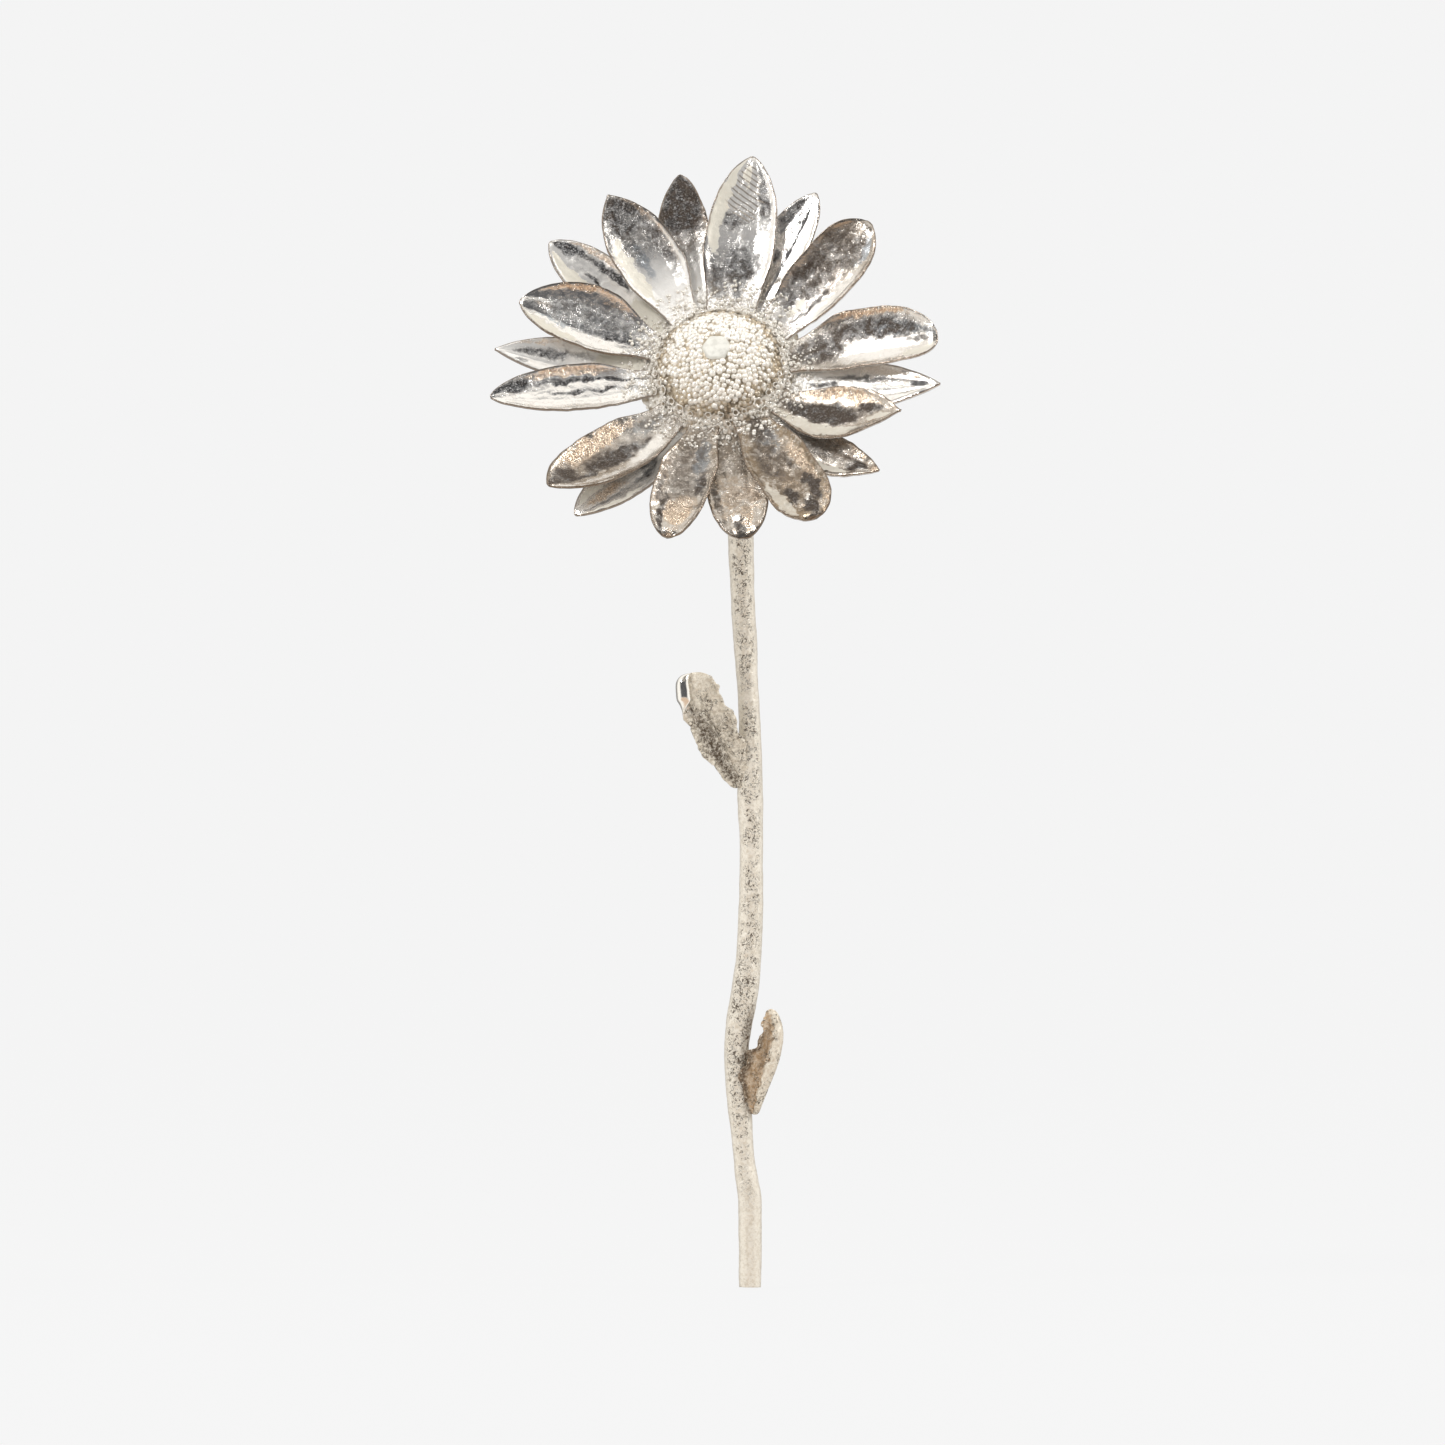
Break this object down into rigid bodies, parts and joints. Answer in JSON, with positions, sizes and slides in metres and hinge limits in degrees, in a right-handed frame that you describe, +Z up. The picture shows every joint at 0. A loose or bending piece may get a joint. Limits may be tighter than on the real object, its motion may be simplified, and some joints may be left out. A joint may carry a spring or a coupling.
{
  "type": "daisy flower ornament",
  "caption": "Cast silver daisy: a tilted flower head of hollowed petals round a beaded dome, on a slim stem with small leaves.",
  "frame": {"origin": "centre of the stem's cut foot", "axes": "+Z up the stem from the foot towards the head, -Y towards the side the flower faces, +X to the right as seen from that side"},
  "size_m": [0.0448, 0.0247, 0.1134],
  "materials": {
    "polished_silver": "polished",
    "frosted_silver": "satin",
    "oxidised_silver": "satin"
  },
  "bodies": {
    "root": {"petal_01": "polished_silver", "petal_02": "polished_silver", "petal_03": "polished_silver", "petal_04": "polished_silver", "petal_05": "polished_silver", "petal_06": "polished_silver", "petal_07": "polished_silver", "petal_08": "polished_silver", "petal_09": "polished_silver", "petal_10": "polished_silver", "petal_11": "polished_silver", "petal_12": "polished_silver", "petal_13": "polished_silver", "petal_14": "polished_silver", "petal_15": "polished_silver", "petal_16": "polished_silver", "petal_17": "polished_silver", "petal_18": "polished_silver", "disc_core": "oxidised_silver", "floret_cap": "frosted_silver", "floret_eye": "frosted_silver", "open_florets": "frosted_silver", "hub_ring": "oxidised_silver", "cup": "oxidised_silver", "bracts_inner": "polished_silver", "bracts_outer": "polished_silver", "stem": "frosted_silver", "leaf_upper": "frosted_silver", "leaf_lower": "frosted_silver"}
  },
  "joints": []
}
